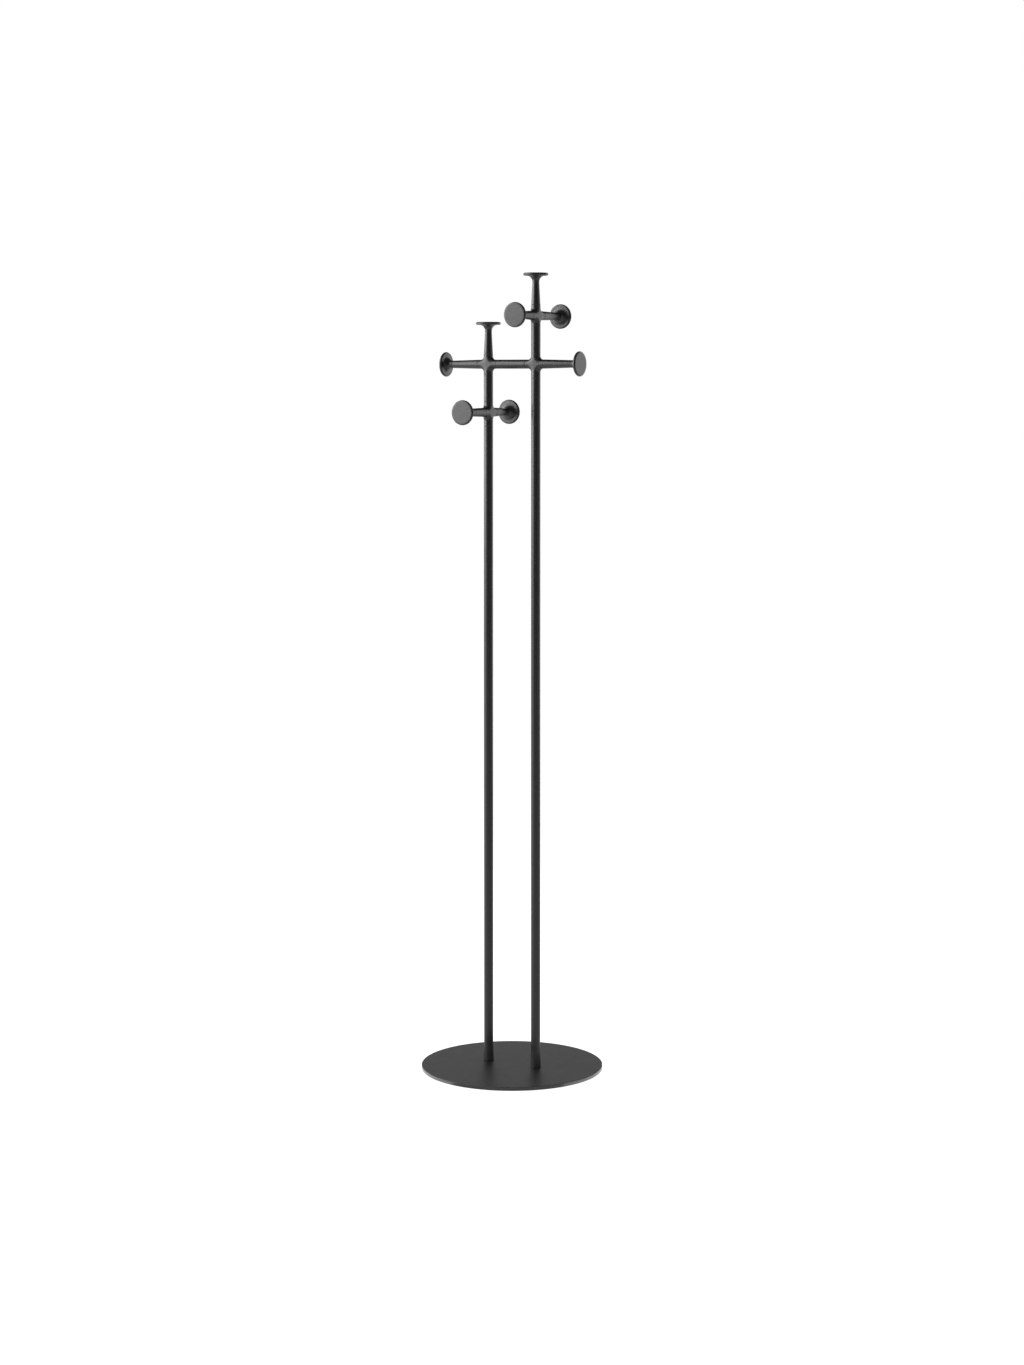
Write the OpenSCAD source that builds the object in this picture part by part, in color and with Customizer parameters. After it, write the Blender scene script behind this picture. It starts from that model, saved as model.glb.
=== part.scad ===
// Standing coat rack: a round steel base, two poles of unequal height, four cross hubs,
// a crossbar and eight trumpet-headed hooks, all screwed together on hidden studs.
// Millimetres, +Z up. The origin is the middle of the footprint, on the floor.
// The crossbar runs along X, and -Y is the front.

/* [Base] */
// Diameter of the base plate
base_d = 392; // [340:1:440]
// Thickness of the base plate
base_t = 8; // [6:0.5:12]
// Diameter of one felt floor pad
pad_d = 26; // [18:1:36]
// How far the felt pads stand out below the plate
pad_t = 1.5; // [1:0.25:3]
// Number of felt floor pads
pad_count = 6; // [3:1:8]

/* [Poles] */
// Outer diameter of the pole tubes
tube_d = 20; // [20:0.5:22]
// Wall thickness of the pole tubes
tube_wall = 1.5; // [1.2:0.1:2.5]
// Distance between the two pole axes
pole_gap = 118; // [110:1:160]
// Diameter of a pole foot where it meets the base
foot_d = 23.2; // [22:0.2:30]
// Height of the flared pole foot
foot_h = 45; // [35:1:70]

/* [Hubs] */
// Height of the crossbar axis above the floor
crossbar_z = 1525.5; // [1300:0.5:1650]
// Height from one hub axis to the next
hub_step = 103.5; // [98:0.5:140]
// Hub axis to its seam with a hook arm, the crossbar or a riser
hub_reach = 23; // [22:0.5:30]
// Hub axis to its seam with a pole
pole_reach = 30; // [26:1:40]
// Diameter of the horizontal bars and of the hubs' side stubs
bar_d = 19.5; // [17:0.5:19.5]
// Radius of the blend between two stubs of a hub
blend_r = 8; // [5:0.5:10]

/* [Hooks] */
// Hub axis to the face of a short hook
short_hook = 91; // [84:0.5:110]
// Hub axis to the face of a long hook
long_hook = 110; // [100:0.5:140]
// Neck diameter of a short hook
short_neck_d = 15.2; // [14:0.2:17]
// Neck diameter of a long hook
long_neck_d = 16.6; // [14:0.2:18]
// Diameter of the disc at a hook's end
disc_d = 53.5; // [52:0.5:64]
// Thickness of that disc at its rim
disc_t = 6; // [4:0.2:7]
// Radius of the flare from the neck to the disc
flare_r = 12.5; // [6:0.5:13]
// Length of the straight neck behind the flare
neck_l = 2.2; // [2:0.1:9]

/* [Hidden] */
$fn = 96;
arc_steps = 12;            // straight steps in each rounded stretch of a profile
seam = 0.4;                // chamfer on each edge of a visible seam
gap = 0.05;                // radial running room of a thread or spigot
edge = 0.8;                // chamfer on the plate's and the feet's sharp edges

m8_r = 4;                  // radius of the studs and screws that join hubs, bars and poles
m6_r = 3;                  // radius of the studs that hold the heads
m8_stud_l = 22;
m6_stud_l = 16;
tap_extra = 2;             // how much deeper a tapped hole is than its stud reaches
plug_l = 24;               // pressed plug in the top of each pole
spigot_l = 28;             // spigot of a foot inside its pole
spigot_blend = 0.3;        // lead-in chamfer of plugs and spigots

screw_l = 24;              // base screw, from its flat head
screw_head_r = 8.2;
screw_head_h = 4.2;
screw_sink = 0.4;          // how far the screw head lies below the plate's underside
socket_af = 5;             // hexagon socket across its flats
socket_depth = 3;
screw_room = 0.4;          // radial room round the screws in the plate

tube_r = tube_d / 2;
bore_r = tube_r - tube_wall;
bar_r = bar_d / 2;
head_l = disc_t + flare_r + neck_l;
plate_z = pad_t;
plate_top = plate_z + base_t;
pole_x = pole_gap / 2;
pad_ring_r = base_d / 2 - pad_d / 2 - 6;
lower_z = crossbar_z - hub_step;
upper_z = crossbar_z + hub_step;
web_half = 0.93 * bar_r;   // half thickness of a hub's blending web at its middle
web_sink = 0.3;            // how far the web's outline dips below a stub's surface at its ends

// Where each hub stands: its place, and whether its side stubs run along Y (true) or X.
lower_left = [-pole_x, 0, lower_z];
bar_left = [-pole_x, 0, crossbar_z];
bar_right = [pole_x, 0, crossbar_z];
upper_right = [pole_x, 0, upper_z];

// Directions as rotations that turn +Z that way.
TO_UP = [0, 0, 0];
TO_LEFT = [0, -90, 0];
TO_RIGHT = [0, 90, 0];
TO_FRONT = [90, 0, 0];
TO_BACK = [-90, 0, 0];

// Every hook: its name, the hub it springs from, its direction, and whether it is a long one.
HOOKS = [
    ["top_left", bar_left, TO_UP, false],
    ["top_right", upper_right, TO_UP, false],
    ["left", bar_left, TO_LEFT, true],
    ["right", bar_right, TO_RIGHT, true],
    ["upper_front", upper_right, TO_FRONT, false],
    ["upper_back", upper_right, TO_BACK, true],
    ["lower_front", lower_left, TO_FRONT, true],
    ["lower_back", lower_left, TO_BACK, false],
];

// Points of an arc round [x, y] from angle a to angle b.
function arc(x, y, r, a, b) =
    [for (i = [0:arc_steps]) let (t = a + (b - a) * i / arc_steps) [x + r * cos(t), y + r * sin(t)]];

function hook_length(long) = long ? long_hook : short_hook;
function neck_radius(long) = (long ? long_neck_d : short_neck_d) / 2;
function arm_length(long) = hook_length(long) - head_l - hub_reach;

// Radius of a foot at a height above the plate: a flare that fades into the pole.
function foot_radius(h) = tube_r + (foot_d / 2 - tube_r) * pow(max(0, 1 - h / foot_h), 1.5);

// A round bar from z = 0 to l that tapers from r1 to r2, its ends chamfered for the seam and tapped.
module turned_bar(l, r1, r2, tap1, depth1, tap2, depth2) {
    rotate_extrude()
        polygon([
            [tap1 + gap, 0], [r1 - seam, 0], [r1, seam],
            [r2, l - seam], [r2 - seam, l], [tap2 + gap, l],
            [tap2 + gap, l - depth2], [0, l - depth2],
            [0, depth1], [tap1 + gap, depth1],
        ]);
}

// A solid round bar from z = -down to up, through a hub, its ends chamfered for the seam.
module through_bar(r, down, up) {
    rotate_extrude()
        polygon([
            [0, -down], [r - seam, -down], [r, seam - down],
            [r, up - seam], [r - seam, up], [0, up],
        ]);
}

// The tapped hole in the end of a stub.
module tapped_hole(reach) {
    depth = m8_stud_l / 2 + tap_extra;
    translate([0, 0, reach - depth]) cylinder(r = m8_r + gap, h = depth + 1);
}

// The blend between a hub's four stubs: a lens whose outline is cut to concave corners.
module blend_web() {
    outer = tube_r + blend_r - web_sink;
    rim = norm([tube_r, outer]);
    ball_r = (rim * rim + web_half * web_half) / (2 * web_half);
    intersection() {
        rotate([90, 0, 0])
            linear_extrude(height = 2 * tube_r, center = true)
                difference() {
                    square(2 * outer, center = true);
                    for (x = [-1, 1], y = [-1, 1])
                        translate([x * outer, y * outer]) circle(r = blend_r);
                }
        translate([0, ball_r - web_half, 0]) sphere(r = ball_r);
        translate([0, web_half - ball_r, 0]) sphere(r = ball_r);
    }
}

// A cross hub with its side stubs along X. down is the reach of its lower stub.
module hub(down) {
    difference() {
        union() {
            rotate(90) through_bar(tube_r, down, hub_reach);
            rotate(TO_RIGHT) rotate(90) through_bar(bar_r, hub_reach, hub_reach);
            blend_web();
        }
        tapped_hole(hub_reach);
        rotate([180, 0, 0]) tapped_hole(down);
        rotate(TO_LEFT) tapped_hole(hub_reach);
        rotate(TO_RIGHT) tapped_hole(hub_reach);
    }
}

module base_plate() {
    color([0.09, 0.09, 0.095])
        difference() {
            translate([0, 0, plate_z])
                rotate_extrude()
                    polygon([
                        [0, 0], [base_d / 2 - edge, 0], [base_d / 2, edge],
                        [base_d / 2, base_t - edge], [base_d / 2 - edge, base_t], [0, base_t],
                    ]);
            for (x = [-pole_x, pole_x])
                translate([x, 0, plate_z]) {
                    translate([0, 0, -1]) cylinder(r = m8_r + screw_room, h = base_t + 2);
                    translate([0, 0, -1]) cylinder(r = screw_head_r + screw_room, h = 1 + screw_sink);
                    translate([0, 0, screw_sink])
                        cylinder(r1 = screw_head_r + screw_room, r2 = m8_r + screw_room, h = screw_head_h);
                }
        }
}

module floor_pads() {
    color([0.16, 0.16, 0.16])
        for (i = [0:pad_count - 1])
            rotate(360 * (i + 0.5) / pad_count)
                translate([pad_ring_r, 0, 0]) cylinder(d = pad_d, h = pad_t);
}

// Countersunk screws, driven up through the plate into the feet.
module base_screws() {
    color([0.35, 0.35, 0.36])
        for (x = [-pole_x, pole_x])
            translate([x, 0, plate_z + screw_sink])
                difference() {
                    union() {
                        cylinder(r1 = screw_head_r, r2 = m8_r, h = screw_head_h);
                        cylinder(r = m8_r, h = screw_l - seam);
                        translate([0, 0, screw_l - seam])
                            cylinder(r1 = m8_r, r2 = m8_r - seam, h = seam);
                    }
                    translate([0, 0, -1])
                        cylinder(d = socket_af / cos(30), h = 1 + socket_depth, $fn = 6);
                }
}

// A flared foot with a tapped hole below and a spigot that is pressed into the pole.
module foot(x) {
    tap_depth = screw_sink + screw_l - base_t + tap_extra;
    spigot_r = bore_r - gap;
    flare = [for (i = [0:arc_steps]) let (h = edge + (foot_h - edge) * i / arc_steps) [foot_radius(h), h]];
    color([0.09, 0.09, 0.095])
        translate([x, 0, plate_top])
            rotate_extrude()
                polygon(concat(
                    [[m8_r + gap, 0], [foot_radius(edge) - edge, 0]],
                    flare,
                    [
                        [spigot_r, foot_h],
                        [spigot_r, foot_h + spigot_l - spigot_blend],
                        [spigot_r - spigot_blend, foot_h + spigot_l],
                        [0, foot_h + spigot_l], [0, tap_depth], [m8_r + gap, tap_depth],
                    ]
                ));
}

// A pole tube from its foot to the hub that it carries.
module pole(x, hub_z) {
    l = hub_z - pole_reach - plate_top - foot_h;
    color([0.09, 0.09, 0.095])
        translate([x, 0, plate_top + foot_h])
            rotate_extrude()
                polygon([
                    [bore_r, 0], [tube_r, 0], [tube_r, l - seam],
                    [tube_r - seam, l], [bore_r, l],
                ]);
}

// The tapped plug pressed into the top of a pole.
module pole_plug(x, hub_z) {
    r = bore_r - gap;
    color([0.55, 0.55, 0.57])
        translate([x, 0, hub_z - pole_reach - plug_l])
            rotate_extrude()
                polygon([
                    [m8_r + gap, 0], [r - spigot_blend, 0], [r, spigot_blend],
                    [r, plug_l], [m8_r + gap, plug_l],
                ]);
}

module placed_hub(at, turn, down) {
    color([0.1, 0.1, 0.105])
        translate(at) rotate(turn) hub(down);
}

module crossbar() {
    l = pole_gap - 2 * hub_reach;
    depth = m8_stud_l / 2 + tap_extra;
    color([0.1, 0.1, 0.105])
        translate(bar_left + [hub_reach, 0, 0])
            rotate(TO_RIGHT) turned_bar(l, bar_r, bar_r, m8_r, depth, m8_r, depth);
}

// A riser between two hubs, one above the other.
module riser(at) {
    l = hub_step - 2 * hub_reach;
    depth = m8_stud_l / 2 + tap_extra;
    color([0.1, 0.1, 0.105])
        translate(at + [0, 0, hub_reach])
            turned_bar(l, tube_r, tube_r, m8_r, depth, m8_r, depth);
}

// The tapered arm of a hook, from its hub to its head.
module arm(hook) {
    long = hook[3];
    color([0.1, 0.1, 0.105])
        translate(hook[1]) rotate(hook[2]) translate([0, 0, hub_reach])
            turned_bar(
                arm_length(long), bar_r, neck_radius(long),
                m8_r, m8_stud_l / 2 + tap_extra, m6_r, m6_stud_l / 2 + tap_extra
            );
}

// The trumpet head of a hook: neck, flare, and a flat-faced disc with a rounded rim.
module head(hook) {
    long = hook[3];
    neck = neck_radius(long);
    rim = disc_t / 2;
    disc_r = disc_d / 2;
    flare_z = neck_l;
    under_z = head_l - disc_t;
    tap_depth = m6_stud_l / 2 + tap_extra;
    color([0.12, 0.12, 0.125])
        translate(hook[1]) rotate(hook[2]) translate([0, 0, hook_length(long) - head_l])
            rotate_extrude()
                polygon(concat(
                    [[m6_r + gap, 0], [neck - seam, 0], [neck, seam]],
                    arc(neck + flare_r, flare_z, flare_r, 180, 90),
                    arc(disc_r - rim, under_z + rim, rim, -90, 90),
                    [[0, head_l], [0, tap_depth], [m6_r + gap, tap_depth]]
                ));
}

// One stud centred on a seam, running along +Z.
module stud(r, l) {
    cylinder(r = r, h = l - 2 * seam, center = true);
    for (side = [0, 180])
        rotate([side, 0, 0]) translate([0, 0, l / 2 - seam]) cylinder(r1 = r, r2 = r - seam, h = seam);
}

// Studs between hubs, bars, poles and arms, one on every such seam.
module joint_studs() {
    color([0.55, 0.55, 0.57]) {
        for (hook = HOOKS)
            translate(hook[1]) rotate(hook[2]) translate([0, 0, hub_reach]) stud(m8_r, m8_stud_l);
        for (z = [lower_z - pole_reach, lower_z + hub_reach, crossbar_z - hub_reach])
            translate([-pole_x, 0, z]) stud(m8_r, m8_stud_l);
        for (z = [crossbar_z - pole_reach, crossbar_z + hub_reach, upper_z - hub_reach])
            translate([pole_x, 0, z]) stud(m8_r, m8_stud_l);
        for (side = [-1, 1])
            translate([side * (pole_x - hub_reach), 0, crossbar_z]) rotate(TO_RIGHT) stud(m8_r, m8_stud_l);
    }
}

// Studs between arms and heads.
module head_studs() {
    color([0.55, 0.55, 0.57])
        for (hook = HOOKS)
            translate(hook[1]) rotate(hook[2])
                translate([0, 0, hook_length(hook[3]) - head_l]) stud(m6_r, m6_stud_l);
}

base_plate();
floor_pads();
base_screws();
foot(-pole_x);  // left_foot
foot(pole_x);  // right_foot
pole(-pole_x, lower_z);  // left_pole
pole(pole_x, crossbar_z);  // right_pole
pole_plug(-pole_x, lower_z);  // left_pole_plug
pole_plug(pole_x, crossbar_z);  // right_pole_plug
placed_hub(lower_left, 90, pole_reach);  // lower_left_hub
placed_hub(bar_left, 0, hub_reach);  // crossbar_left_hub
placed_hub(bar_right, 0, pole_reach);  // crossbar_right_hub
placed_hub(upper_right, 90, hub_reach);  // upper_right_hub
crossbar();
riser(lower_left);  // left_riser
riser(bar_right);  // right_riser
for (hook = HOOKS) {
    arm(hook);
    head(hook);
}
joint_studs();
head_studs();
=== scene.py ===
from math import cos, pi, radians, sin, tan

import bmesh
import bpy
from mathutils import Matrix, Vector


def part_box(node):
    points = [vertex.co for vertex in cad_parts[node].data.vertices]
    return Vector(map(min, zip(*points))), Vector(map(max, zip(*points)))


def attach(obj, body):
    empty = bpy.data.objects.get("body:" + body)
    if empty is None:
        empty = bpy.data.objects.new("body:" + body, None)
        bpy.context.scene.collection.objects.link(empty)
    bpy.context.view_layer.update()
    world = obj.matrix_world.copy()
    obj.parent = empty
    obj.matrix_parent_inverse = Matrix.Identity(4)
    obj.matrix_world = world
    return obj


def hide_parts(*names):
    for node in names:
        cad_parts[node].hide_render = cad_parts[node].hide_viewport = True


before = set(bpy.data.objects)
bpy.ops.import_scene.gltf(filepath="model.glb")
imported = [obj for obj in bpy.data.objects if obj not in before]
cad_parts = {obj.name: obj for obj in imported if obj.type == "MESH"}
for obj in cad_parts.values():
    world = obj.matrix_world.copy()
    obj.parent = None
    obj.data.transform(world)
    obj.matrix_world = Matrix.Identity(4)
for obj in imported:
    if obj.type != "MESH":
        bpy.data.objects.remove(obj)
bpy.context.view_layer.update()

UP = Vector((0, 0, 1))
RIGHT, LEFT = Vector((1, 0, 0)), Vector((-1, 0, 0))
BACK, FRONT = Vector((0, 1, 0)), Vector((0, -1, 0))

# Sizes that the boxes of the CAD nodes don't give.
TUBE_WALL = 0.0015
SEAM = 0.0008            # rounding on each edge of a seam, which shows as a fine dark line
RIM_ROUNDING = 0.0011    # rounding of the base plate's edges
SCREW_HOLE = 0.0044      # radius of the base screws' holes, and of their countersinks
COUNTERSINK = 0.0086
COUNTERSINK_LIP = 0.0004     # height of a countersink's straight part, below its cone
COUNTERSINK_DEPTH = 0.0046
PAD_COUNT = 6
PAD_RADIUS = 0.013
PAD_ROUNDING = 0.0004
FOOT_EDGE = 0.0008       # bevel where a foot stands on the plate
FOOT_PROUD = 0.0001      # how much wider than its node a foot's curve would be at the plate
FOOT_CURVE = 1.5         # power of the curve by which a foot flares
SPIGOT = 0.028           # length of the foot's spigot inside the pole
SPIGOT_ROOM = 0.00005    # room round it in the pole's bore
FOOT_TAP = 0.0184        # depth of the tapped hole in a foot's underside
BLEND = 0.008            # radius in the corner between two stubs of a hub
JOINT_BORE = 0.00405     # radius and depth of the tapped holes that the joint studs fill
JOINT_DEPTH = 0.013
HEAD_BORE = 0.00305      # the same for the studs of the heads
HEAD_DEPTH = 0.010
DISC = 0.0060            # thickness of a head's disc
FLARE = 0.0125           # radius of the flare behind it
SHORT_NECK, LONG_NECK = 0.0076, 0.0083    # radius of the neck of a short and of a long hook
NECK_STEP = 0.0002       # how much slimmer an arm ends than the neck it meets

SHARP = 35               # edges over this angle in degrees are shaded sharp

# How finely hubs and feet are divided.
TURN_STEPS = 12          # in the quarter turn of a stub
BLEND_STEPS = 14         # round the corner between two stubs
FOOT_STEPS = 20

HUBS = ["lower_left_hub", "crossbar_left_hub", "crossbar_right_hub", "upper_right_hub"]

# Every hook: its name, its direction and the radius of its head's neck.
HOOKS = [
    ("top_left", UP, SHORT_NECK), ("top_right", UP, SHORT_NECK),
    ("left", LEFT, LONG_NECK), ("right", RIGHT, LONG_NECK),
    ("upper_front", FRONT, SHORT_NECK), ("upper_back", BACK, LONG_NECK),
    ("lower_front", FRONT, LONG_NECK), ("lower_back", BACK, SHORT_NECK),
]


# ---------------------------------------------------------------- materials

class Nodes:
    """A material's node tree, with short calls for the nodes that the finishes share."""

    def __init__(self, name):
        self.material = bpy.data.materials.new(name)
        self.material.use_nodes = True
        self.tree = self.material.node_tree
        self.shader = self.tree.nodes["Principled BSDF"]
        self.place = self.tree.nodes.new("ShaderNodeTexCoord").outputs["Object"]

    def set(self, **values):
        for name, value in values.items():
            self.shader.inputs[name.replace("_", " ")].default_value = value

    def link(self, output, socket):
        self.tree.links.new(output, socket)

    def noise(self, scale, detail=2.0, stretch=(1, 1, 1)):
        mapping = self.tree.nodes.new("ShaderNodeMapping")
        mapping.inputs["Scale"].default_value = stretch
        self.link(self.place, mapping.inputs["Vector"])
        node = self.tree.nodes.new("ShaderNodeTexNoise")
        node.inputs["Scale"].default_value = scale
        node.inputs["Detail"].default_value = detail
        self.link(mapping.outputs["Vector"], node.inputs["Vector"])
        return node.outputs["Fac"]

    def spread(self, value, low, high, start=0.3, end=0.7):
        """value from start to end becomes low to high."""
        node = self.tree.nodes.new("ShaderNodeMapRange")
        for name, number in (("From Min", start), ("From Max", end), ("To Min", low), ("To Max", high)):
            node.inputs[name].default_value = number
        self.link(value, node.inputs["Value"])
        return node.outputs["Result"]

    def times(self, one, other):
        node = self.tree.nodes.new("ShaderNodeMath")
        node.operation = "MULTIPLY"
        self.link(one, node.inputs[0])
        self.link(other, node.inputs[1])
        return node.outputs["Value"]

    def mix(self, share, one, other):
        """The colour one where share is 0 and other where it is 1; each is a colour or an output."""
        node = self.tree.nodes.new("ShaderNodeMix")
        node.data_type = "RGBA"
        self.link(share, node.inputs["Factor"])
        for colour, socket in ((one, node.inputs[6]), (other, node.inputs[7])):
            if isinstance(colour, tuple):
                socket.default_value = (*colour, 1)
            else:
                self.link(colour, socket)
        return node.outputs[2]

    def bump(self, height, depth, under=None):
        node = self.tree.nodes.new("ShaderNodeBump")
        node.inputs["Distance"].default_value = depth
        self.link(height, node.inputs["Height"])
        if under:
            self.link(under, node.inputs["Normal"])
        return node.outputs["Normal"]

    def height(self):
        """Height above the floor in metres."""
        node = self.tree.nodes.new("ShaderNodeSeparateXYZ")
        self.link(self.place, node.inputs["Vector"])
        return node.outputs["Z"]

    def wear(self):
        """1 on the rounded edges of seams and rims, 0 elsewhere."""
        node = self.tree.nodes.new("ShaderNodeAttribute")
        node.attribute_name = "wear"
        return node.outputs["Fac"]

    def finish(self, colour, roughness, normal):
        self.link(colour, self.shader.inputs["Base Color"])
        self.link(roughness, self.shader.inputs["Roughness"])
        self.link(normal, self.shader.inputs["Normal"])
        return self.material


def powder_coat(name, dark, light, smooth=0.30, rough=0.34, specular=0.5, painted_light_top=None):
    """Black satin powder coat: faint clouding, orange peel, fine grain, and a thin coat on edges.

    With a painted_light_top, a lighter grey of painted light, which lifts the shade low on the part near
    the plate, fades out from the plate up to that height.
    """
    nodes = Nodes(name)
    nodes.set(Specular_IOR_Level=specular)
    clouds = nodes.spread(nodes.noise(14, 4), 0, 1)
    thin = nodes.times(nodes.wear(), nodes.spread(nodes.noise(420, 3), 0, 1, 0.4, 0.62))
    coat = nodes.mix(clouds, dark, light)
    if painted_light_top:
        # painted light: lighter grey towards the plate, lifting the shade low on the part
        painted_light_share = nodes.spread(nodes.height(), 1, 0, PAINTED_LIGHT_BOTTOM, painted_light_top)
        coat = nodes.mix(painted_light_share, coat, FOOT_PAINTED_LIGHT)
    colour = nodes.mix(thin, coat, tuple(4 * part for part in light))
    roughness = nodes.spread(nodes.noise(60, 5), smooth, rough)
    peel = nodes.bump(nodes.noise(380, 1), 0.000012)
    return nodes.finish(colour, roughness, nodes.bump(nodes.noise(1900, 1), 0.000002, under=peel))


def zinc_steel(name, colour, stretch):
    """Zinc-plated steel, its fine marks drawn out along the axes whose stretch is small."""
    nodes = Nodes(name)
    nodes.set(Metallic=1.0)
    marks = nodes.noise(900, 3, stretch)
    tint = nodes.mix(nodes.spread(nodes.noise(140, 3), 0, 1), colour, tuple(0.75 * part for part in colour))
    return nodes.finish(tint, nodes.spread(marks, 0.24, 0.42), nodes.bump(marks, 0.00002))


def felt(name):
    """Grey needled felt: a matted tangle of short fibres."""
    nodes = Nodes(name)
    nodes.set(Sheen_Weight=0.35)
    fibres = nodes.noise(900, 6, (1, 1, 0.4))
    colour = nodes.mix(nodes.spread(fibres, 0, 1), (0.035, 0.034, 0.033), (0.085, 0.083, 0.08))
    clumps = nodes.bump(nodes.noise(260, 4), 0.0003)
    return nodes.finish(colour, nodes.spread(fibres, 0.85, 1.0), nodes.bump(fibres, 0.0002, under=clumps))


FOOT_PAINTED_LIGHT = (0.036, 0.03564, 0.03492)    # colour of the painted light on the feet: a lighter grey that lifts their shade near the plate
PAINTED_LIGHT_BOTTOM = 0.010                 # height up to which the painted light is whole

BASE_COAT = powder_coat("base_powder_coat", (0.0120, 0.0120, 0.0125), (0.0130, 0.0130, 0.0135),
                        smooth=0.44, rough=0.47, specular=0.72)
# the feet carry painted light: they are lighter grey towards the plate
FOOT_COAT = powder_coat("foot_powder_coat", (0.0060, 0.0060, 0.0065), (0.0080, 0.0080, 0.0085),
                        painted_light_top=0.052)
POLE_COAT = powder_coat("pole_powder_coat", (0.0060, 0.0060, 0.0065), (0.0080, 0.0080, 0.0085))
HUB_COAT = powder_coat("hub_powder_coat", (0.0065, 0.0065, 0.0070), (0.0085, 0.0085, 0.0090))
BAR_COAT = powder_coat("bar_powder_coat", (0.0062, 0.0062, 0.0067), (0.0082, 0.0082, 0.0087))
HEAD_COAT = powder_coat("head_powder_coat", (0.0070, 0.0070, 0.0075), (0.0090, 0.0090, 0.0095))
SCREW_STEEL = zinc_steel("screw_zinc", (0.42, 0.42, 0.43), (1, 1, 0.1))
PLUG_STEEL = zinc_steel("plug_zinc", (0.55, 0.55, 0.56), (0.1, 0.1, 1))
STUD_STEEL = zinc_steel("stud_zinc", (0.52, 0.51, 0.48), (0.6, 0.6, 1))
PAD_FELT = felt("pad_felt")


# ---------------------------------------------------------------- outlines

def arc(x, y, radius, start, end, steps=14):
    """Points of an arc round (x, y), from angle start to angle end in degrees."""
    angles = [radians(start + (end - start) * i / steps) for i in range(steps + 1)]
    return [(x + radius * cos(a), y + radius * sin(a)) for a in angles]


def rounded(corners, steps=5):
    """The closed outline through corners (r, z, rounding) as points (r, z, wear).

    A rounded corner becomes an arc, whose points have wear 1, between two support points.
    """
    points = []
    count = len(corners)
    for i, (r, z, rounding) in enumerate(corners):
        here = Vector((r, z))
        if not rounding:
            points.append((r, z, 0))
            continue
        back = (Vector(corners[i - 1][:2]) - here).normalized()
        ahead = (Vector(corners[(i + 1) % count][:2]) - here).normalized()
        half = back.angle(ahead) / 2
        centre = here + (back + ahead).normalized() * rounding / sin(half)
        cut = rounding / tan(half)
        start, end = here + back * cut, here + ahead * cut
        points.append((*(start + back * rounding / 2), 0))
        for step in range(steps + 1):
            spoke = (start - centre).slerp(end - centre, step / steps).normalized()
            points.append((*(centre + spoke * rounding), 1))
        points.append((*(end + ahead * rounding / 2), 0))
    return points


def plain(points):
    """Points (r, z) as sharp corners."""
    return [(r, z, 0) for r, z in points]


# ---------------------------------------------------------------- meshes

def lathe(mesh, outline, segments, place):
    """Turns a closed outline (r, z, wear) about Z, and adds it to mesh in place."""
    wear_layer = mesh.verts.layers.float.get("wear") or mesh.verts.layers.float.new("wear")
    rings = []
    for r, z, wear in outline:
        on_axis = r < 1e-7
        ring = []
        for i in range(1 if on_axis else segments):
            turn = 2 * pi * i / segments
            vert = mesh.verts.new(place @ Vector((r * cos(turn), r * sin(turn), z)))
            vert[wear_layer] = wear
            ring.append(vert)
        rings.append(ring)
    for one, other in zip(rings, rings[1:] + rings[:1]):
        if len(one) == len(other) == 1:
            continue
        for i in range(segments):
            j = (i + 1) % segments
            corners = [one[i % len(one)], one[j % len(one)], other[j % len(other)], other[i % len(other)]]
            mesh.faces.new(list(dict.fromkeys(corners)))


def add_object(name, mesh):
    """Makes an object of a finished mesh."""
    data = bpy.data.meshes.new(name)
    mesh.to_mesh(data)
    mesh.free()
    thing = bpy.data.objects.new(name, data)
    bpy.context.scene.collection.objects.link(thing)
    return thing


def piece(name, mesh, material, node):
    """Makes a piece of a finished mesh, which stands for a CAD node."""
    bmesh.ops.recalc_face_normals(mesh, faces=mesh.faces)
    for face in mesh.faces:
        face.smooth = True
    for edge in mesh.edges:
        edge.smooth = edge.is_manifold and edge.calc_face_angle() < radians(SHARP)
    thing = add_object(name, mesh)
    thing.data.materials.append(material)
    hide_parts(node)
    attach(thing, "root")
    return thing


def turned(name, outline, material, node, place, segments=64):
    """A piece that is one turned part."""
    mesh = bmesh.new()
    lathe(mesh, outline, segments, place)
    return piece(name, mesh, material, node)


def node_along(node, direction):
    """The matrix that lays +Z along direction from a node's near face, its length and its radius."""
    low, high = (Vector(corner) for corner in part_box(node))
    middle, size = (low + high) / 2, high - low
    length = abs(size.dot(direction))
    radius = max(size - direction * size.dot(direction)) / 2
    turn = direction.to_track_quat("Z", "Y").to_matrix().to_4x4()
    return Matrix.Translation(middle - direction * length / 2) @ turn, length, radius


# ---------------------------------------------------------------- base

def make_base_plate():
    """The steel disc, bored and countersunk from below for the screws into the two feet."""
    place, length, radius = node_along("base_plate", UP)
    corners = [(0, 0, 0), (radius, 0, RIM_ROUNDING), (radius, length, RIM_ROUNDING), (0, length, 0)]
    plate = turned("base_plate_disc", rounded(corners, 6), BASE_COAT, "base_plate", place, 256)
    past = 0.001    # how far the cut goes past the plate's underside
    hole = plain([
        (0, -past), (COUNTERSINK, -past), (COUNTERSINK, COUNTERSINK_LIP),
        (SCREW_HOLE, COUNTERSINK_DEPTH), (SCREW_HOLE, 2 * length), (0, 2 * length),
    ])
    for node in ("left_foot", "right_foot"):
        low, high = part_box(node)
        middle = ((low[0] + high[0]) / 2, (low[1] + high[1]) / 2, place.translation.z)
        cut_hole(plate, hole, Matrix.Translation(middle))
    return plate


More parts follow.
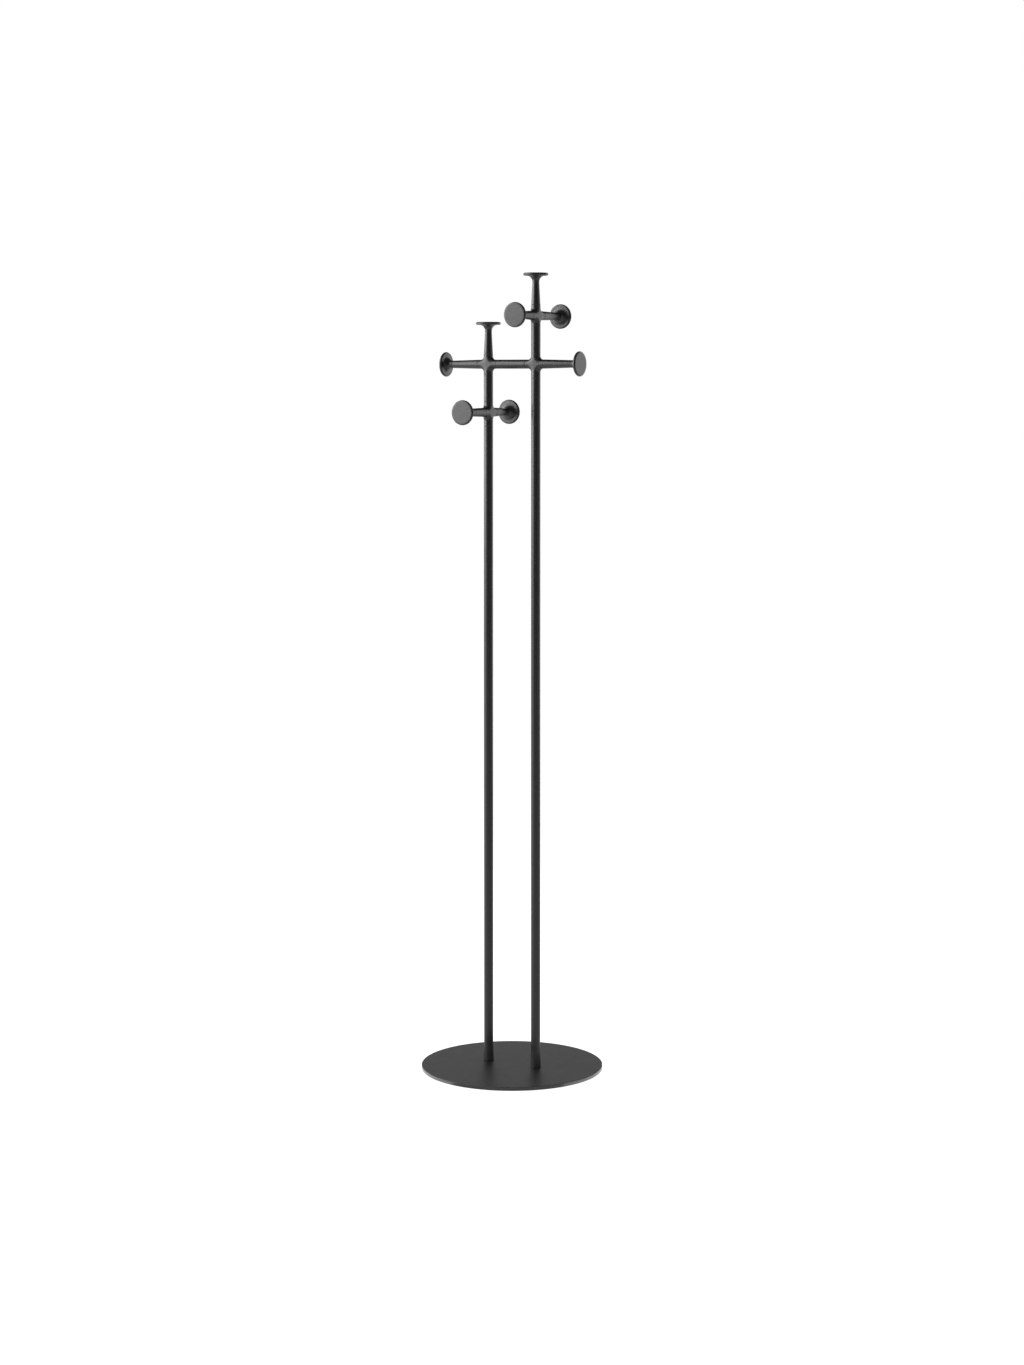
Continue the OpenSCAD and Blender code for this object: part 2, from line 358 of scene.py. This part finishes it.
def cut_hole(thing, outline, place):
    """Cuts a turned hole into a piece, and shades what is level as truly flat."""
    mesh = bmesh.new()
    lathe(mesh, outline, 64, place)
    bmesh.ops.recalc_face_normals(mesh, faces=mesh.faces)
    cutter = add_object("cutter", mesh)
    modifier = thing.modifiers.new("hole", "BOOLEAN")
    modifier.operation = "DIFFERENCE"
    modifier.solver = "EXACT"
    modifier.object = cutter
    solid = thing.evaluated_get(bpy.context.evaluated_depsgraph_get())
    cut = bpy.data.meshes.new_from_object(solid)
    thing.modifiers.clear()
    thing.data = cut
    bpy.data.objects.remove(cutter)
    mesh = bmesh.new()
    mesh.from_mesh(cut)
    bmesh.ops.remove_doubles(mesh, verts=mesh.verts, dist=1e-6)
    for face in mesh.faces:
        face.smooth = abs(face.normal.z) < 0.9999
    mesh.to_mesh(cut)
    mesh.free()


def make_pads():
    """The ring of round felt pads under the plate."""
    low, high = (Vector(corner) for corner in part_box("floor_pads"))
    ring = high.y - PAD_RADIUS
    mesh = bmesh.new()
    corners = [(0, 0, 0), (PAD_RADIUS, 0, PAD_ROUNDING), (PAD_RADIUS, high.z, PAD_ROUNDING), (0, high.z, 0)]
    for i in range(PAD_COUNT):
        turn = Matrix.Rotation(2 * pi * (i + 0.5) / PAD_COUNT, 4, "Z")
        lathe(mesh, rounded(corners, 3), 48, turn @ Matrix.Translation((ring, 0, low.z)))
    piece("floor_pads_felt", mesh, PAD_FELT, "floor_pads")


# ---------------------------------------------------------------- poles

def make_foot(side):
    """The flared foot that the plate's screw holds, with its spigot inside the pole."""
    place, length, foot_radius = node_along(side + "_foot", UP)
    _, _, tube_radius = node_along(side + "_pole", UP)
    top = length - SPIGOT
    spread = foot_radius - tube_radius + FOOT_PROUD
    heights = [FOOT_EDGE + (top - FOOT_EDGE) * i / FOOT_STEPS for i in range(FOOT_STEPS + 1)]
    flare = [(tube_radius + spread * (1 - h / top) ** FOOT_CURVE, h) for h in heights]
    spigot = tube_radius - TUBE_WALL - SPIGOT_ROOM
    corners = plain([(JOINT_BORE, 0), (flare[0][0] - FOOT_EDGE, 0)] + flare)
    corners += [(spigot, top, 0), (spigot, length, SEAM), (0, length, 0)]
    corners += plain([(0, FOOT_TAP), (JOINT_BORE, FOOT_TAP)])
    turned(side + "_foot_flare", rounded(corners), FOOT_COAT, side + "_foot", place)


def make_pole(side):
    """The pole's tube, open at both ends."""
    place, length, radius = node_along(side + "_pole", UP)
    bore = radius - TUBE_WALL
    corners = [(bore, 0, 0), (radius, 0, 0), (radius, length, SEAM), (bore, length, 0)]
    turned(side + "_pole_tube", rounded(corners), POLE_COAT, side + "_pole", place)


# ---------------------------------------------------------------- hubs

def stub_outline(radius, start, reach):
    """The points (r, along, wear) of a stub from the hub's blend out to its end, bored for a stud."""
    edge = [(r, along, 1) for r, along in arc(radius - SEAM, reach - SEAM, SEAM, 0, 90, 4)]
    bore = [(JOINT_BORE, reach), (JOINT_BORE, reach - JOINT_DEPTH), (0, reach - JOINT_DEPTH)]
    middle = (start + reach) / 2
    return plain([(radius, middle), (radius, reach - 2 * SEAM)]) + edge + plain(bore)


def hub_eighth(upright, side, up_reach, side_reach):
    """Rows of points for one eighth of a hub: x, y and z at or above 0.

    upright and side are the radii of its stubs along Z and X. The rows run from the end of the
    upright stub, round the blend in the corner, to the end of the side stub. Each row is its wear
    and the points of an arc from the middle plane to the front.
    """
    turns = [pi / 2 * i / TURN_STEPS for i in range(TURN_STEPS + 1)]
    corner_x, corner_z = upright + BLEND, side + BLEND
    rows = []
    for r, along, wear in reversed(stub_outline(upright, corner_z, up_reach)):
        rows.append((wear, [(r * cos(t), r * sin(t), along) for t in turns]))
    for i in range(BLEND_STEPS + 1):
        angle = pi + pi / 2 * i / BLEND_STEPS
        radius = upright + (side - upright) * i / BLEND_STEPS
        row = []
        for t in turns:
            reach = BLEND + radius * (1 - cos(t))
            row.append((corner_x + reach * cos(angle), radius * sin(t), corner_z + reach * sin(angle)))
        rows.append((0, row))
    for r, along, wear in stub_outline(side, corner_x, side_reach):
        rows.append((wear, [(along, r * sin(t), r * cos(t)) for t in turns]))
    return rows


def add_eighth(mesh, rows, flat, place):
    """Joins the rows of an eighth of a hub, and fills the flat between the axes and its front edge."""
    wear_layer = mesh.verts.layers.float["wear"]
    grid = []
    for wear, row in rows:
        verts = [mesh.verts.new(place @ Vector(point)) for point in row]
        for vert in verts:
            vert[wear_layer] = wear
        grid.append(verts)
    for one, other in zip(grid, grid[1:]):
        for i in range(TURN_STEPS):
            mesh.faces.new((one[i], one[i + 1], other[i + 1], other[i]))
    middle = mesh.verts.new(place @ Vector((0, flat, 0)))
    first = (len(grid) - BLEND_STEPS) // 2
    blend = [row[-1] for row in grid[first:first + BLEND_STEPS + 1]]
    for one, other in zip(blend, blend[1:]):
        mesh.faces.new((middle, one, other))


def make_hub(node, side):
    """A cross hub, whose side stubs have the radius side and run along X or Y as its node does."""
    low, high = (Vector(corner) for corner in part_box(node))
    size = high - low
    side_reach = max(size.x, size.y) / 2
    centre = Vector(((low.x + high.x) / 2, (low.y + high.y) / 2, high.z - side_reach))
    upright = min(size.x, size.y) / 2
    flat = (side + upright) / 2
    turn = Matrix.Rotation(pi / 2 if size.y > size.x else 0, 4, "Z")
    place = Matrix.Translation(centre) @ turn
    mesh = bmesh.new()
    mesh.verts.layers.float.new("wear")
    for z_sign, up_reach in ((1, side_reach), (-1, centre.z - low.z)):
        rows = hub_eighth(upright, side, up_reach, side_reach)
        for x_sign in (1, -1):
            for y_sign in (1, -1):
                add_eighth(mesh, rows, flat, place @ Matrix.Diagonal((x_sign, y_sign, z_sign, 1)))
    bmesh.ops.remove_doubles(mesh, verts=mesh.verts, dist=1e-6)
    piece(node + "_casting", mesh, HUB_COAT, node)


# ---------------------------------------------------------------- bars, arms and heads

def make_bar(node, direction, end_radius=None, end_bore=JOINT_BORE, end_depth=JOINT_DEPTH):
    """A solid turned bar, tapered if end_radius is given, bored for a stud at both ends."""
    place, length, radius = node_along(node, direction)
    end_radius = end_radius or radius
    corners = [
        (JOINT_BORE, 0, 0), (radius, 0, SEAM), (end_radius, length, SEAM), (end_bore, length, 0),
        (end_bore, length - end_depth, 0), (0, length - end_depth, 0),
        (0, JOINT_DEPTH, 0), (JOINT_BORE, JOINT_DEPTH, 0),
    ]
    turned(node + "_bar", rounded(corners), BAR_COAT, node, place)


def make_head(name, direction, neck):
    """The trumpet head of a hook: a neck, a flare and a disc with a rounded rim."""
    node = name + "_head"
    place, length, disc_radius = node_along(node, direction)
    under = length - DISC
    rim = DISC / 2
    outline = rounded([(HEAD_BORE, 0, 0), (neck, 0, SEAM), (neck, under - FLARE, 0)])
    outline = outline[:-1] + plain(arc(neck + FLARE, under - FLARE, FLARE, 180, 90))
    outline += plain(arc(disc_radius - rim, under + rim, rim, -90, 90))
    outline += plain([
        (disc_radius - 2 * rim, length), (0, length), (0, HEAD_DEPTH), (HEAD_BORE, HEAD_DEPTH),
    ])
    turned(node + "_turning", outline, HEAD_COAT, node, place, 96)


def coat_node(node, material):
    """Gives a CAD node that stays its own finish."""
    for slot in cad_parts[node].material_slots:
        slot.material = material


plate = make_base_plate()
make_pads()
for side in ("left", "right"):
    make_foot(side)
    make_pole(side)
    make_bar(side + "_riser", UP)
_, _, bar_radius = node_along("crossbar", RIGHT)
for hub in HUBS:
    make_hub(hub, bar_radius)
make_bar("crossbar", RIGHT)
for hook, direction, neck in HOOKS:
    make_bar(hook + "_arm", direction, neck - NECK_STEP, HEAD_BORE, HEAD_DEPTH)
    make_head(hook, direction, neck)

coat_node("base_screws", SCREW_STEEL)
coat_node("left_pole_plug", PLUG_STEEL)
coat_node("right_pole_plug", PLUG_STEEL)
coat_node("joint_studs", STUD_STEEL)
coat_node("head_studs", STUD_STEEL)


# ---------------------------------------------------------------- studio

CAMERA_AZIMUTH = 30.46    # degrees from the front, towards the right
CAMERA_DISTANCE = 5.696
CAMERA_HEIGHT = 1.491
CAMERA_PITCH = 2.402      # degrees down
CAMERA_LENS = 69.89       # millimetres
CAMERA_SHIFT = -0.14      # keeps the top in the picture with so little pitch
STUDIO_RADIUS = 30.0
FLOOR_RADIUS = 4.5        # the part of the floor that the coat rack reflects
FLOOR_BEHIND = 2.5        # how far that part reaches behind the coat rack, as the camera sees it
STRIP_INNER, STRIP_OUTER = 0.197, 0.245    # the strips of light on the floor, just outside the plate
LEVEL = 0.0001            # keeps the level parts of the studio apart

# Softboxes: name, azimuth from the camera's, distance, height, width, tall, radiance, aim height.
# A radiance of 1 is plain white.
SOFTBOXES_KEPT_OFF_PLATE = [
    ("left_softbox", -92, 2.5, 1.80, 3.5, 1.4, 6.7, 1.8),
    ("left_wall", -92, 2.6, 0.56, 3.5, 1.1, 1.5, 0.56),
    ("back_right_softbox", 125, 3.0, 1.6, 2.8, 2.8, 1.7, 1.6),
]
SOFTBOXES = [
    ("left_high_softbox", -80, 2.5, 3.40, 3.5, 1.6, 5.0, 2.2),
    ("right_fill", 65, 3.0, 1.5, 2.4, 2.6, 0.45, 1.5),
    ("backdrop_light", 180, 2.4, 0.70, 3.6, 1.3, 0.45, 0.7),
]
# Strips of light beside the plate: side, azimuths from the camera's at both ends, strength.
STRIPS = [("left", -100, -42, 3.0), ("right", 36, 100, 2.6)]
WORLD_GREY = 0.12


def around(azimuth, distance, height):
    """A place at a distance from the coat rack's axis. Azimuth 0 is towards the camera."""
    turn = radians(CAMERA_AZIMUTH + azimuth)
    return Vector((distance * sin(turn), -distance * cos(turn), height))


def make_camera():
    """The camera of the main view."""
    data = bpy.data.cameras.new("camera")
    data.sensor_width = 36
    data.lens = CAMERA_LENS
    data.shift_y = CAMERA_SHIFT
    data.clip_end = 100
    camera = bpy.data.objects.new("camera", data)
    camera.location = around(0, CAMERA_DISTANCE, CAMERA_HEIGHT)
    camera.rotation_euler = (radians(90 - CAMERA_PITCH), 0, radians(CAMERA_AZIMUTH))
    bpy.context.scene.collection.objects.link(camera)
    bpy.context.scene.camera = camera


def glow(name, strength, white):
    """A plain white surface that also shines, as an evenly lit studio sweep does."""
    material = bpy.data.materials.new(name)
    material.use_nodes = True
    shader = material.node_tree.nodes["Principled BSDF"]
    shader.inputs["Base Color"].default_value = (white, white, white, 1)
    shader.inputs["Roughness"].default_value = 1.0
    shader.inputs["Specular IOR Level"].default_value = 0.0
    shader.inputs["Emission Color"].default_value = (1, 1, 1, 1)
    shader.inputs["Emission Strength"].default_value = strength
    material.cycles.emission_sampling = "NONE"
    return material


def staged(name, mesh, material, seen):
    """Adds a part of the studio that only the camera sees, or else that only lights and is reflected."""
    thing = add_object(name, mesh)
    thing.data.materials.append(material)
    thing.visible_camera = seen
    thing.visible_glossy = thing.visible_diffuse = thing.visible_shadow = not seen


def level_disc(radius, middle):
    """A level disc as a mesh."""
    mesh = bmesh.new()
    place = Matrix.Translation(middle)
    bmesh.ops.create_circle(mesh, cap_ends=True, radius=radius, segments=96, matrix=place)
    return mesh


def level_band(start, end, inner, outer, height):
    """A level part of a ring round the coat rack's axis, from azimuth start to end, as a mesh."""
    steps = 32
    mesh = bmesh.new()
    azimuths = [start + (end - start) * i / steps for i in range(steps + 1)]
    rows = [[mesh.verts.new(around(azimuth, r, height)) for r in (inner, outer)] for azimuth in azimuths]
    for (a, b), (c, d) in zip(rows, rows[1:]):
        mesh.faces.new((a, b, d, c))
    return mesh


def make_sweep():
    """The white floor and surround that the camera sees, and the dimmer floor that is reflected.

    A strip of light on the floor on each side lights up the base plate's rim.
    """
    staged("floor", level_disc(STUDIO_RADIUS, Vector()), glow("floor_white", 0.97, 0.3), True)
    middle = around(0, FLOOR_RADIUS - FLOOR_BEHIND, -LEVEL)
    staged("floor_bounce", level_disc(FLOOR_RADIUS, middle), glow("floor_dim", 0.70, 0.3), False)
    for side, start, end, strength in STRIPS:
        strip = level_band(start, end, STRIP_INNER, STRIP_OUTER, 2 * LEVEL)
        staged(side + "_strip", strip, glow(side + "_strip_white", strength, 0.0), False)
    dome = bmesh.new()
    bmesh.ops.create_uvsphere(dome, u_segments=48, v_segments=24, radius=STUDIO_RADIUS)
    staged("surround", dome, glow("surround_white", 1.0, 0.0), True)


def softbox(name, azimuth, distance, height, width, tall, radiance, aim_height):
    """A rectangular area light that faces the coat rack's axis."""
    data = bpy.data.lights.new(name, "AREA")
    data.shape = "RECTANGLE"
    data.size, data.size_y = width, tall
    data.energy = radiance * pi * width * tall
    light = bpy.data.objects.new(name, data)
    light.location = around(azimuth, distance, height)
    towards = Vector((0, 0, aim_height)) - light.location
    light.rotation_euler = towards.to_track_quat("-Z", "Y").to_euler()
    light.visible_camera = False
    bpy.context.scene.collection.objects.link(light)
    return light


def make_lights(plate):
    """Softboxes around, some of them kept off the plate so that its top doesn't mirror them."""
    kept_off = [softbox(*row) for row in SOFTBOXES_KEPT_OFF_PLATE]
    for row in SOFTBOXES:
        softbox(*row)
    unlit = bpy.data.collections.new("flagged_from_softboxes")
    unlit.objects.link(plate)
    unlit.collection_objects[0].light_linking.link_state = "EXCLUDE"
    for light in kept_off:
        light.light_linking.receiver_collection = unlit


def make_world():
    """The dim grey room beyond the softboxes."""
    world = bpy.data.worlds.new("dim_studio")
    world.use_nodes = True
    grey = (WORLD_GREY, WORLD_GREY, WORLD_GREY, 1)
    world.node_tree.nodes["Background"].inputs["Color"].default_value = grey
    world.cycles.sampling_method = "NONE"
    bpy.context.scene.world = world


make_camera()
make_sweep()
make_lights(plate)
make_world()
bpy.context.scene.view_settings.view_transform = "Standard"
